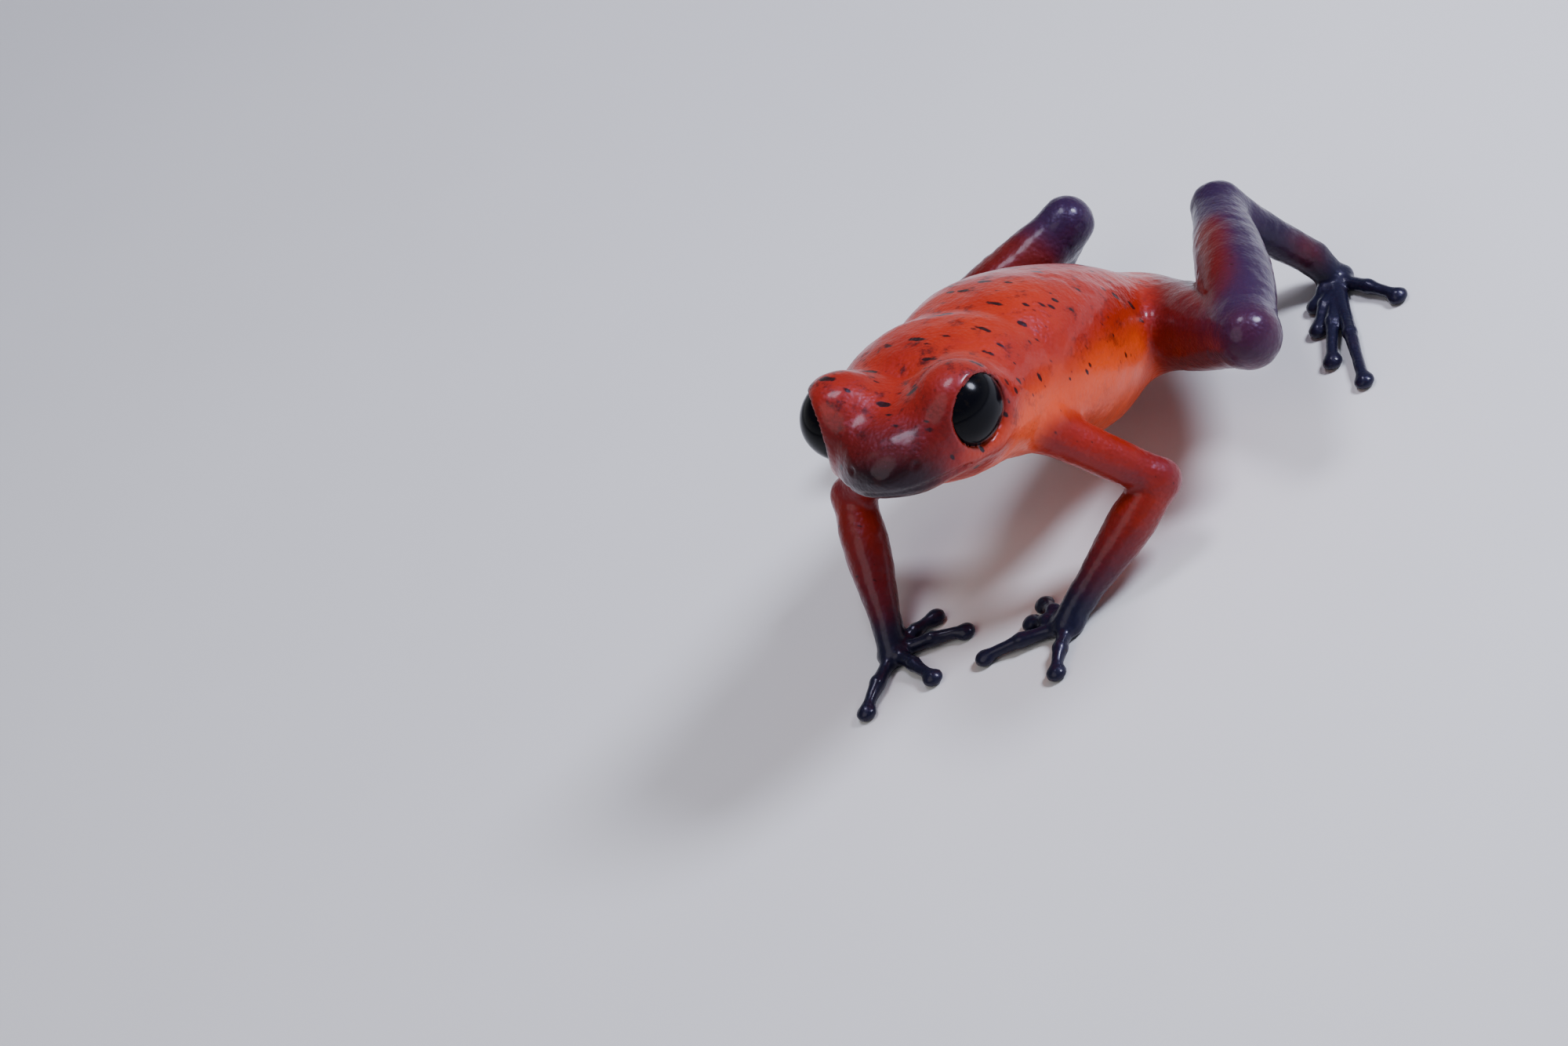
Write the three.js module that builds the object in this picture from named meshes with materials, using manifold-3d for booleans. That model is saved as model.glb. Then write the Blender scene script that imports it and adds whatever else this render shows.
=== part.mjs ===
// Strawberry poison dart frog, life size, propped up on its front legs with its head raised.
// Millimetres. +Z is up, the frog faces -Y and its left side is +X. It stands on the plane z = 0.

import * as THREE from 'three';
import Module from 'manifold-3d';
import { mergeVertices } from 'three/addons/utils/BufferGeometryUtils.js';

const wasm = await Module();
wasm.setup();

// Driving sizes
const GAP = 0.3; // left between neighbouring pieces
const HIP_HEIGHT = 3.0; // middle of the hips above the floor
const TRUNK_LENGTH = 10.8; // hips to neck
const TRUNK_RISE = 27.7; // degrees, nose end up
const HEAD_AHEAD = [0.17, -2.55, 1.95]; // neck to the middle of the head
const HEAD_YAW = 13.2; // degrees, toward the frog's left
const HEAD_PITCH = 6.8; // degrees down from the line of the trunk
const NECK_CUT = 11.6; // place of the neck joint, along the trunk from the hips
const HIP = { out: 1.3, ahead: -0.1, up: -0.2 };
const SHOULDER = { out: 2.75, ahead: 9.75, up: -1.25 };
const EYE = { out: 2.1, ahead: 0.5, up: 0.42, radius: 1.46, bed: 0.5, gap: 0.25 };
const GAZE = { ahead: 0.4, down: 0.12 }; // for every step outward
const LID_RADIUS = 1.8;
const TOE_HEIGHT = 0.26; // middle of a resting digit above the floor
const DIGIT_RADIUS = 0.27;
const PAD_RADIUS = 0.4;
const FAR = 60; // larger than the frog

// A bone is its length, its bearing round +Z from +X and its rise from level, in degrees.
const POSE = {
  left: {
    thigh: { length: 8.1, bearing: -28.8, rise: 17.9 },
    shank: { length: 8.53, bearing: 122.2, rise: -3.3 },
    tarsus: { length: 4.9, bearing: 27.6, rise: -58.3 },
    upperArm: { length: 4.5, bearing: 24.6, rise: -54.1 },
    forearm: { length: 4.8, bearing: -124.8, rise: -24.5 },
    palm: { length: 1.0, bearing: -119 },
    sole: { length: 0.4, bearing: -55 },
    fingers: [
      { length: 2.1, bearing: 145 },
      { length: 1.9, bearing: 175 },
      { length: 3.5, bearing: -152 },
      { length: 2.6, bearing: -78 },
    ],
    toes: [
      { length: 1.6, bearing: -106 },
      { length: 2.8, bearing: -84 },
      { length: 4.7, bearing: -70 },
      { length: 6.4, bearing: -58 },
      { length: 3.3, bearing: -17 },
    ],
  },
  right: {
    thigh: { length: 8.2, bearing: -157.6, rise: -4.9 },
    shank: { length: 9.1, bearing: 50.7, rise: 13.7 },
    tarsus: { length: 4.7, bearing: -160.0, rise: -52.0 },
    upperArm: { length: 4.6, bearing: -174.7, rise: -34.3 },
    forearm: { length: 5.0, bearing: -64.4, rise: -35.6 },
    palm: { length: 0.7, bearing: -68 },
    sole: { length: 0.4, bearing: 170 },
    fingers: [
      { length: 2.3, bearing: 64 },
      { length: 3.0, bearing: 24 },
      { length: 2.7, bearing: -28 },
      { length: 3.1, bearing: -88 },
    ],
    toes: [
      { length: 1.6, bearing: -105 },
      { length: 2.8, bearing: -126 },
      { length: 4.7, bearing: -140 },
      { length: 6.4, bearing: -151 },
      { length: 3.3, bearing: 172 },
    ],
  },
};

// Radii at the near end, the fullest part and the far end of each limb piece
const LIMB = {
  thigh: { radii: [1.45, 1.55, 1.2], full: 0.42 },
  shank: { radii: [1.2, 1.36, 0.92], full: 0.4 },
  tarsus: { radii: [0.92, 0.72, 0.62], full: 0.55 },
  upperArm: { radii: [0.85, 0.78, 0.72], full: 0.35 },
  forearm: { radii: [0.72, 0.84, 0.52], full: 0.38 },
};

// Half width, height above and depth below the middle line, at places along it from the hips
const TRUNK_SHAPE = [
  { at: -1.9, side: 1.7, top: 0.7, bottom: 1.3 },
  { at: -0.6, side: 2.35, top: 1.15, bottom: 1.9 },
  { at: 1.2, side: 2.7, top: 1.75, bottom: 2.5 },
  { at: 3.4, side: 3.15, top: 2.5, bottom: 3.4 },
  { at: 5.8, side: 3.6, top: 3.05, bottom: 3.45 },
  { at: 8.2, side: 3.65, top: 3.4, bottom: 2.8 },
  { at: 10.4, side: 3.35, top: 3.1, bottom: 2.15 },
  { at: 12.4, side: 2.95, top: 2.4, bottom: 1.9 },
  { at: 14.0, side: 2.4, top: 1.6, bottom: 1.6 },
];

// The same for the head, at places ahead of the line between the eyes
const HEAD_SHAPE = [
  { at: -4.2, side: 2.45, top: 1.5, bottom: 1.3 },
  { at: -2.6, side: 3.05, top: 1.75, bottom: 1.9 },
  { at: -1.0, side: 3.2, top: 1.55, bottom: 2.15 },
  { at: 0.6, side: 2.95, top: 1.15, bottom: 2.15 },
  { at: 1.9, side: 2.25, top: 0.8, bottom: 2.0 },
  { at: 2.9, side: 1.65, top: 0.35, bottom: 1.8 },
  { at: 3.65, side: 1.15, top: -0.1, bottom: 1.6 },
];
const SNOUT_ROUNDING = 1.3;
const RUMP_ROUNDING = 2.2;
const MOUTH = { level: -1.38, corner: -0.9, groove: 0.11, lip: 0.2 };
const NOSTRIL = { out: 1.1, ahead: 3.05, level: -0.5, radius: 0.15, rim: 0.3 };
const EAR = { ahead: -1.35, level: -0.45, radius: 0.55, groove: 0.09 };

const COLOURS = {
  back: { color: 0xc8321a, roughness: 0.35, metalness: 0 },
  head: { color: 0xa82a1c, roughness: 0.35, metalness: 0 },
  arm: { color: 0xb42e1e, roughness: 0.4, metalness: 0 },
  leg: { color: 0x5a2a4a, roughness: 0.35, metalness: 0 },
  foot: { color: 0x1c1c34, roughness: 0.4, metalness: 0 },
  eye: { color: 0x08090e, roughness: 0.08, metalness: 0 },
};

const Z = new THREE.Vector3(0, 0, 1);
const rad = THREE.MathUtils.degToRad;
const point = (x, y, z) => new THREE.Vector3(x, y, z);

// The direction of a bone
function heading({ bearing, rise = 0 }) {
  const flat = Math.cos(rad(rise));
  return point(Math.cos(rad(bearing)) * flat, Math.sin(rad(bearing)) * flat, Math.sin(rad(rise)));
}

function reach(start, bone) {
  return start.clone().addScaledVector(heading(bone), bone.length);
}

// A closed mesh as a solid that can be joined and cut
function toSolid(source) {
  const bare = source.clone();
  bare.deleteAttribute('normal');
  bare.deleteAttribute('uv');
  const merged = mergeVertices(bare, 1e-4);
  return new wasm.Manifold(new wasm.Mesh({
    numProp: 3,
    vertProperties: new Float32Array(merged.attributes.position.array),
    triVerts: new Uint32Array(merged.index.array),
  }));
}

function largest(solid) {
  const pieces = solid.decompose();
  return pieces.reduce((best, next) => (next.volume() > best.volume() ? next : best));
}

function toGeometry(solid) {
  const mesh = largest(solid).getMesh();
  const geometry = new THREE.BufferGeometry();
  geometry.setAttribute('position', new THREE.BufferAttribute(new Float32Array(mesh.vertProperties), 3));
  geometry.setIndex(new THREE.BufferAttribute(new Uint32Array(mesh.triVerts), 1));
  geometry.computeVertexNormals();
  return geometry;
}

function union(solids) {
  return solids.reduce((whole, next) => whole.add(next));
}

// The part of a solid on the side of a plane that its normal points to, from `offset` on
function keepBeyond(solid, origin, normal, offset = GAP / 2) {
  const block = new THREE.BoxGeometry(FAR, FAR, FAR);
  block.translate(0, 0, FAR / 2 + offset);
  block.applyQuaternion(new THREE.Quaternion().setFromUnitVectors(Z, normal.clone().normalize()));
  block.translate(origin.x, origin.y, origin.z);
  return solid.intersect(toSolid(block));
}

function aboveFloor(solid) {
  return keepBeyond(solid, point(0, 0, 0), Z, 0);
}

// Smooth value between the stations of a shape
function between(stations, at, name) {
  const last = stations.length - 1;
  if (at <= stations[0].at) return stations[0][name];
  if (at >= stations[last].at) return stations[last][name];
  const i = stations.findIndex((s) => s.at > at) - 1;
  const pick = (k) => stations[Math.min(Math.max(k, 0), last)];
  const [before, a, b, after] = [pick(i - 1), pick(i), pick(i + 1), pick(i + 2)];
  const span = b.at - a.at;
  const t = (at - a.at) / span;
  const slopeA = ((b[name] - before[name]) / (b.at - before.at)) * span;
  const slopeB = ((after[name] - a[name]) / (after.at - a.at)) * span;
  const t2 = t * t;
  const t3 = t2 * t;
  return (2 * t3 - 3 * t2 + 1) * a[name] + (t3 - 2 * t2 + t) * slopeA
    + (3 * t2 - 2 * t3) * b[name] + (t3 - t2) * slopeB;
}

// How far a round end of the given length has opened, at a distance from its tip
function roundEnd(distance, length) {
  const left = 1 - Math.min(Math.max(distance / length, 0), 1);
  return Math.sqrt(1 - left * left);
}

// Rounded section: the distance from the middle line in a direction given by its two parts
function sectionPoint(section, across, upward) {
  const square = section.square ?? 2;
  const size = (Math.abs(across) ** square + Math.abs(upward) ** square) ** (1 / square);
  const height = upward > 0 ? section.top : section.bottom;
  return [(across / size) * section.side, (upward / size) * height];
}

// A closed body along the +Y to -Y line of its own frame, with its sections given by a function
function bodyAlong(from, to, sectionAt, sides, steps) {
  const geometry = new THREE.SphereGeometry(1, sides, steps);
  const place = geometry.attributes.position;
  for (let i = 0; i < place.count; i += 1) {
    const [x, y, z] = [place.getX(i), place.getY(i), place.getZ(i)];
    const at = THREE.MathUtils.lerp(from, to, (1 - y) / 2);
    const section = sectionAt(at);
    const ring = Math.hypot(x, z) > 1e-6 ? sectionPoint(section, x, z) : [0, 0];
    place.setXYZ(i, ring[0], -at, (section.lift ?? 0) + ring[1]);
  }
  return geometry;
}

// The section of the trunk at a place ahead of the hips, grown by a margin
function trunkSection(at, margin) {
  const start = TRUNK_SHAPE[0].at - margin;
  const end = TRUNK_SHAPE[TRUNK_SHAPE.length - 1].at;
  const open = roundEnd(at - start, RUMP_ROUNDING) * roundEnd(end - at, 1);
  const arch = 0.45 * Math.sin(Math.PI * THREE.MathUtils.clamp((at + 1) / 11, 0, 1));
  return {
    side: (between(TRUNK_SHAPE, at, 'side') + margin) * open,
    top: (between(TRUNK_SHAPE, at, 'top') + margin) * open,
    bottom: (between(TRUNK_SHAPE, at, 'bottom') + margin) * open,
    lift: arch,
    square: 2.4,
  };
}

function headSection(at) {
  const start = HEAD_SHAPE[0].at;
  const end = HEAD_SHAPE[HEAD_SHAPE.length - 1].at;
  const open = roundEnd(at - start, 1) * roundEnd(end - at, SNOUT_ROUNDING);
  const top = between(HEAD_SHAPE, at, 'top');
  const bottom = between(HEAD_SHAPE, at, 'bottom');
  const half = (top + bottom) / 2;
  return {
    side: between(HEAD_SHAPE, at, 'side') * open,
    top: half * open,
    bottom: half * open,
    lift: (top - bottom) / 2,
    square: 2.35,
  };
}

// Frames: the trunk leans back from the hips, and the head turns and dips from the trunk.
const hips = point(0, 0, HIP_HEIGHT);
const trunkFrame = new THREE.Matrix4().makeRotationX(-rad(TRUNK_RISE)).setPosition(hips);
const neck = point(0, -TRUNK_LENGTH, 0).applyMatrix4(trunkFrame);
const headFrame = new THREE.Matrix4()
  .makeRotationX(-rad(TRUNK_RISE))
  .multiply(new THREE.Matrix4().makeRotationZ(rad(HEAD_YAW)))
  .multiply(new THREE.Matrix4().makeRotationX(rad(HEAD_PITCH)))
  .setPosition(neck.clone().add(point(...HEAD_AHEAD)));

function onTrunk({ out, ahead, up }, side) {
  return point(out * side, -ahead, up).applyMatrix4(trunkFrame);
}

function trunkSolid(margin) {
  const from = TRUNK_SHAPE[0].at - margin;
  const to = TRUNK_SHAPE[TRUNK_SHAPE.length - 1].at;
  const body = bodyAlong(from, to, (at) => trunkSection(at, margin), 28, 24);
  return toSolid(body.applyMatrix4(trunkFrame));
}

// Where a line from a point inside the head, level in its own frame, leaves the skin
function headSurface(y0, level, angle) {
  let [inside, outside] = [0, 8];
  for (let i = 0; i < 24; i += 1) {
    const middle = (inside + outside) / 2;
    const x = middle * Math.sin(angle);
    const y = y0 - middle * Math.cos(angle);
    if (insideHead(x, y, level)) inside = middle;
    else outside = middle;
  }
  return point(inside * Math.sin(angle), y0 - inside * Math.cos(angle), level);
}

function insideHead(x, y, z) {
  const section = headSection(-y);
  if (-y > HEAD_SHAPE[HEAD_SHAPE.length - 1].at || section.side < 1e-3) return false;
  const upward = (z - section.lift) / section.top;
  const across = x / section.side;
  return Math.abs(across) ** section.square + Math.abs(upward) ** section.square < 1;
}

// The line of the mouth, from one corner round the snout to the other
function mouthLine(lift) {
  const widest = rad(112);
  const points = [];
  const count = 17;
  for (let i = 0; i < count; i += 1) {
    const turn = (i / (count - 1)) * 2 - 1;
    const dip = 0.34 * turn * turn;
    points.push(headSurface(MOUTH.corner + 0.4, MOUTH.level + dip + lift, turn * widest));
  }
  return new THREE.CatmullRomCurve3(points);
}

function cordAlong(curve, radius, steps) {
  const ring = new THREE.Shape();
  ring.absarc(0, 0, radius, 0, Math.PI * 2);
  return toSolid(new THREE.ExtrudeGeometry(ring, {
    extrudePath: curve, steps, curveSegments: 3, bevelEnabled: false,
  }));
}

function ball(centre, radii, sides = 16, rings = 10) {
  const geometry = new THREE.SphereGeometry(1, sides, rings);
  geometry.scale(...radii);
  return geometry.translate(centre.x, centre.y, centre.z);
}

function eyeCentre(side) {
  return point(EYE.out * side, -EYE.ahead, EYE.up);
}

// The way an eye looks, in the frame of the head
function gaze(side) {
  return point(side, -GAZE.ahead, -GAZE.down).normalize();
}

// A round drum along the gaze, from a distance before the eye's centre outward
function drumAlongGaze(side, radius, from) {
  const drum = new THREE.CylinderGeometry(radius, radius, EYE.radius * 2, 20);
  drum.rotateX(Math.PI / 2).translate(0, 0, from + EYE.radius);
  drum.applyQuaternion(new THREE.Quaternion().setFromUnitVectors(Z, gaze(side)));
  const centre = eyeCentre(side);
  return toSolid(drum.translate(centre.x, centre.y, centre.z));
}

// The swelling of the lids, with the round bed that the eye sits in
function addEyeBed(head, side) {
  const swelling = ball(eyeCentre(side), [LID_RADIUS, LID_RADIUS * 1.04, LID_RADIUS * 0.97], 20, 12);
  const rim = Math.sqrt(EYE.radius ** 2 - EYE.bed ** 2);
  return head.add(toSolid(swelling)).subtract(drumAlongGaze(side, rim + EYE.gap, EYE.bed - EYE.gap));
}

function addNostril(head, side) {
  const angle = Math.atan2(NOSTRIL.out, NOSTRIL.ahead) * side;
  const place = headSurface(0, NOSTRIL.level, angle);
  const rim = toSolid(ball(place, [NOSTRIL.rim, NOSTRIL.rim, NOSTRIL.rim * 0.8], 12, 8));
  const hole = ball(point(0, 0, 0), [NOSTRIL.radius, NOSTRIL.radius * 3, NOSTRIL.radius], 10, 6);
  hole.rotateZ(angle).translate(place.x, place.y, place.z);
  return head.add(rim).subtract(toSolid(hole));
}

// The round ear drum behind the eye, marked by a ring pressed into the skin
function addEar(head, side) {
  const place = headSurface(-EAR.ahead, EAR.level, side * Math.PI / 2);
  const ring = new THREE.TorusGeometry(EAR.radius, EAR.groove, 5, 18);
  ring.rotateY(Math.PI / 2).translate(place.x, place.y, place.z);
  return head.subtract(toSolid(ring));
}

function headSolid() {
  const from = HEAD_SHAPE[0].at;
  const to = HEAD_SHAPE[HEAD_SHAPE.length - 1].at;
  let head = toSolid(bodyAlong(from, to, headSection, 26, 20));
  head = head.add(cordAlong(mouthLine(MOUTH.lip), MOUTH.lip, 22));
  head = head.add(cordAlong(mouthLine(-MOUTH.lip), MOUTH.lip, 22));
  head = head.subtract(cordAlong(mouthLine(0), MOUTH.groove, 22));
  for (const side of [1, -1]) {
    head = addEyeBed(head, side);
    head = addNostril(head, side);
    head = addEar(head, side);
  }
  return head.transform([...headFrame.elements]);
}

// The part of the eyeball that shows, flat where it rests on its bed
function eyeSolid(side) {
  const centre = eyeCentre(side);
  const globe = toSolid(ball(centre, [EYE.radius, EYE.radius, EYE.radius], 22, 14));
  return keepBeyond(globe, centre, gaze(side), EYE.bed).transform([...headFrame.elements]);
}

// A limb piece between two joints, full in its muscle and round at both ends
function limbSolid(start, end, { radii, full }, sides = 14, steps = 12) {
  const along = end.clone().sub(start);
  const length = along.length();
  const [near, middle, far] = radii;
  const stations = [
    { at: 0, r: near }, { at: full * length, r: middle }, { at: length, r: far },
  ];
  const sectionAt = (at) => {
    const open = roundEnd(at + near, near) * roundEnd(length + far - at, far);
    const r = between(stations, at, 'r') * open;
    return { side: r, top: r, bottom: r };
  };
  const body = bodyAlong(-near, length + far, sectionAt, sides, steps);
  body.applyQuaternion(new THREE.Quaternion().setFromUnitVectors(point(0, -1, 0), along.normalize()));
  return toSolid(body.translate(start.x, start.y, start.z));
}

// Where two pieces meet at a bend, the plane that halves the angle between them
function bendNormal(joint, before, after) {
  const back = before.clone().sub(joint).normalize();
  const on = after.clone().sub(joint).normalize();
  return on.sub(back).normalize();
}

// One digit: a slim finger with a knuckle a little raised and a round flat pad at its tip
function digitSolids(root, { length, bearing }) {
  const rest = point(root.x, root.y, TOE_HEIGHT);
  const tip = reach(rest, { length: length - PAD_RADIUS * 0.8, bearing });
  const knuckle = rest.clone().lerp(tip, 0.55).setZ(TOE_HEIGHT + 0.1);
  const base = { radii: [DIGIT_RADIUS * 1.25, DIGIT_RADIUS * 1.05, DIGIT_RADIUS], full: 0.6 };
  const end = { radii: [DIGIT_RADIUS, DIGIT_RADIUS * 0.96, DIGIT_RADIUS * 0.9], full: 0.5 };
  return [
    limbSolid(rest, knuckle, base, 8, 4),
    limbSolid(knuckle, tip, end, 8, 4),
    toSolid(ball(tip.setZ(0.2), [PAD_RADIUS, PAD_RADIUS, 0.24], 8, 4)),
  ];
}

// A hand or foot: a low pad at the end of the limb, with its digits spread on the floor
function spreadSolid(limbEnd, along, middle, digits, width) {
  const stem = limbSolid(limbEnd, middle, { radii: [width * 0.85, width, width * 0.9], full: 0.5 }, 10, 6);
  const cutStem = keepBeyond(stem, limbEnd, along);
  const palm = toSolid(ball(middle.clone().setZ(0.3), [width * 1.15, width * 1.15, 0.42], 10, 5));
  const spread = [palm, ...digits.flatMap((digit) => digitSolids(middle, digit))];
  return aboveFloor(cutStem.add(union(spread)));
}

function buildArm(side, pose, trunkGrown) {
  const shoulder = onTrunk(SHOULDER, side);
  const elbow = reach(shoulder, pose.upperArm);
  const wrist = reach(elbow, pose.forearm);
  const elbowCut = bendNormal(elbow, shoulder, wrist);
  const along = heading(pose.forearm);
  const upperArm = keepBeyond(limbSolid(shoulder, elbow, LIMB.upperArm), elbow, elbowCut.clone().negate());
  let forearm = keepBeyond(limbSolid(elbow, wrist, LIMB.forearm), elbow, elbowCut);
  forearm = keepBeyond(forearm, wrist, along.clone().negate());
  const palm = reach(wrist, { ...pose.palm, rise: 0 }).setZ(0.36);
  return {
    upper_arm: [upperArm.subtract(trunkGrown), shoulder, COLOURS.arm],
    forearm: [forearm, elbow, COLOURS.arm],
    hand: [spreadSolid(wrist, along, palm, pose.fingers, 0.56), wrist, COLOURS.foot],
  };
}

function buildLeg(side, pose, trunkGrown) {
  const hip = onTrunk(HIP, side);
  const knee = reach(hip, pose.thigh);
  const heel = reach(knee, pose.shank);
  const footEnd = reach(heel, pose.tarsus);
  const ankle = reach(heel, { ...pose.tarsus, length: pose.tarsus.length - 0.8 });
  const kneeCut = bendNormal(knee, hip, heel);
  const heelCut = bendNormal(heel, knee, ankle);
  const along = heading(pose.tarsus);
  const thigh = keepBeyond(limbSolid(hip, knee, LIMB.thigh, 18, 14), knee, kneeCut.clone().negate());
  let shank = keepBeyond(limbSolid(knee, heel, LIMB.shank, 18, 14), knee, kneeCut);
  shank = keepBeyond(shank, heel, heelCut.clone().negate());
  let tarsus = keepBeyond(limbSolid(heel, ankle, LIMB.tarsus), heel, heelCut);
  tarsus = keepBeyond(tarsus, ankle, along.clone().negate());
  const sole = reach(footEnd, { ...pose.sole, rise: 0 }).setZ(0.36);
  return {
    thigh: [thigh.subtract(trunkGrown), hip, COLOURS.leg],
    shank: [shank, knee, COLOURS.leg],
    tarsus: [tarsus, heel, COLOURS.foot],
    foot: [spreadSolid(ankle, along, sole, pose.toes, 0.6), ankle, COLOURS.foot],
  };
}

const frog = new THREE.Group();

// Puts a piece in the frog with its own origin at the joint that it hangs from
function place(name, solid, pivot, look) {
  const geometry = toGeometry(solid).translate(-pivot.x, -pivot.y, -pivot.z);
  const mesh = new THREE.Mesh(geometry, new THREE.MeshStandardMaterial(look));
  mesh.name = name;
  mesh.position.copy(pivot);
  frog.add(mesh);
}

const ahead = point(0, -1, 0).transformDirection(trunkFrame);
const neckCut = point(0, -NECK_CUT, 0).applyMatrix4(trunkFrame);
const wholeTrunk = trunkSolid(0).add(headSolid());
place('torso', keepBeyond(wholeTrunk, neckCut, ahead.clone().negate()), hips, COLOURS.back);
place('head', keepBeyond(wholeTrunk, neckCut, ahead), neckCut, COLOURS.head);

const trunkGrown = trunkSolid(GAP);
for (const [name, side] of [['left', 1], ['right', -1]]) {
  const centre = eyeCentre(side).applyMatrix4(headFrame);
  place(`eye_${name}`, eyeSolid(side), centre, COLOURS.eye);
  const limbs = { ...buildArm(side, POSE[name], trunkGrown), ...buildLeg(side, POSE[name], trunkGrown) };
  for (const [piece, [solid, pivot, look]] of Object.entries(limbs)) {
    place(`${piece}_${name}`, solid, pivot, look);
  }
}

// The origin is under the middle of the frog, on the floor.
const box = new THREE.Box3().setFromObject(frog, true);
const middle = box.getCenter(new THREE.Vector3());
for (const mesh of frog.children) mesh.position.sub(point(middle.x, middle.y, 0));

export default frog;
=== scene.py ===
import math

import bpy
import numpy as np
from mathutils import Matrix, Vector


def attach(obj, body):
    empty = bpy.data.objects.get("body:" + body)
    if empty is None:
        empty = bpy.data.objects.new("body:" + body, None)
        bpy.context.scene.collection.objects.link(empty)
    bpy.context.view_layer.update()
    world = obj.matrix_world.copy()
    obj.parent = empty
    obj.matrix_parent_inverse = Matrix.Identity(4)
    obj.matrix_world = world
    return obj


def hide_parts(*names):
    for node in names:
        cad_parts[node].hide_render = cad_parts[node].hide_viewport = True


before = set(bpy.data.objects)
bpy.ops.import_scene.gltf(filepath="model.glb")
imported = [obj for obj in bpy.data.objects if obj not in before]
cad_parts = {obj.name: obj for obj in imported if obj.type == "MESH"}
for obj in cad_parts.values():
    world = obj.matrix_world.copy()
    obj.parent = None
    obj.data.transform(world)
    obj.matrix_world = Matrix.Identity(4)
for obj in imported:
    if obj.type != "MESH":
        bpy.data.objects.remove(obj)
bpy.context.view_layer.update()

MM = 0.001

# The frog's build and pose, in millimetres and degrees, with the hips over the pose's own origin
PART_MIDDLE = np.array([-1.2174, -6.0064, 0.0])
HIPS = np.array([0.0, 0.0, 3.0])
TRUNK_LENGTH = 10.8
TRUNK_RISE = 27.7
HEAD_AHEAD = np.array([0.17, -2.55, 1.95])
HEAD_YAW = 13.2
HEAD_PITCH = 6.8
HIP = (1.3, 0.1, -0.2)
SHOULDER = (2.75, -9.75, -1.25)
SIDES = {"left": 1, "right": -1}

# A bone is its length, its bearing round +Z from +X and its rise from level. A digit lies level.
POSE = {
    "left": {
        "thigh": (8.1, -28.8, 17.9), "shank": (8.53, 122.2, -3.3), "tarsus": (4.9, 27.6, -58.3),
        "upper_arm": (4.5, 24.6, -54.1), "forearm": (4.8, -124.8, -24.5),
        "palm": (1.0, -119), "sole": (0.4, -55),
        "fingers": [(2.1, 145), (1.9, 175), (3.5, -152), (2.6, -78)],
        "toes": [(1.6, -106), (2.8, -84), (4.7, -70), (6.4, -58), (3.3, -17)],
    },
    "right": {
        "thigh": (8.2, -157.6, -4.9), "shank": (9.1, 50.7, 13.7), "tarsus": (4.7, -160.0, -52.0),
        "upper_arm": (4.6, -174.7, -34.3), "forearm": (5.0, -64.4, -35.6),
        "palm": (0.7, -68), "sole": (0.4, 170),
        "fingers": [(2.3, 64), (3.0, 24), (2.7, -28), (3.1, -88)],
        "toes": [(1.6, -105), (2.8, -126), (4.7, -140), (6.4, -151), (3.3, 172)],
    },
}

# Radii at the near end, the fullest part and the far end, and where the fullest part lies
LIMB = {
    "thigh": (1.45, 1.55, 1.05, 0.42), "shank": (1.02, 1.36, 0.92, 0.44),
    "tarsus": (0.92, 0.72, 0.62, 0.55), "upper_arm": (0.85, 0.78, 0.72, 0.35),
    "forearm": (0.72, 0.84, 0.52, 0.38),
}

# Hands and feet
PALM_WIDTH = 0.56
SOLE_WIDTH = 0.6
PALM_HEIGHT = 0.36
PALM_PAD_HEIGHT = 0.3
PALM_PAD_DEPTH = 0.42
BALL_LENGTH = 0.8
DIGIT_HEIGHT = 0.26
DIGIT_RADIUS = 0.25
DIGIT_BASE = (1.3, 1.0, 1.08)
DIGIT_END = (1.06, 0.86, 0.86)
KNUCKLE_PLACE = 0.55
KNUCKLE_RISE = 0.1
PAD_RADIUS = 0.4
PAD_HEIGHT = 0.2
PAD_DEPTH = 0.23

# How softly each form joins what came before it, in millimetres
BLEND = {
    "torso": 0.1, "head": 1.7, "lid": 0.85, "thigh": 1.2, "shank": 0.12, "tarsus": 0.3,
    "upper_arm": 0.6, "forearm": 0.3, "wrist": 0.25, "palm": 0.2, "digit": 0.14, "digit_end": 0.1,
    "pad": 0.12,
}
KNEE_BLEND = 0.7
KNEE_BLEND_REACH = 1.7

# Place along the middle line, half width, height above and depth below it
TRUNK_SHAPE = [
    (-1.9, 1.7, 0.7, 1.3), (-0.6, 2.35, 1.15, 1.9), (1.2, 2.7, 1.75, 2.5), (3.4, 3.15, 2.5, 3.4),
    (5.8, 3.6, 3.05, 3.45), (8.2, 3.65, 3.4, 2.8), (10.4, 3.35, 3.1, 2.15), (12.4, 2.95, 2.4, 1.9),
    (14.0, 2.4, 1.6, 1.6),
]
TRUNK_SQUARENESS = 2.4
TRUNK_REACH = 9.0
BACK_ARCH = 0.45
BACK_ARCH_START = -1.0
BACK_ARCH_LENGTH = 11.0
RUMP_ROUNDING = 2.2
HEAD_SHAPE = [
    (-4.2, 2.45, 1.5, 1.3), (-2.6, 3.05, 1.75, 1.9), (-1.0, 3.2, 1.55, 2.15), (0.6, 2.95, 1.15, 2.15),
    (1.9, 2.25, 0.8, 2.0), (2.9, 1.65, 0.35, 1.8), (3.65, 1.15, -0.1, 1.6),
]
HEAD_SQUARENESS = 2.35
HEAD_REACH = 5.2
SNOUT_ROUNDING = 1.3
CUT_END_ROUNDING = 1.0

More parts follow.
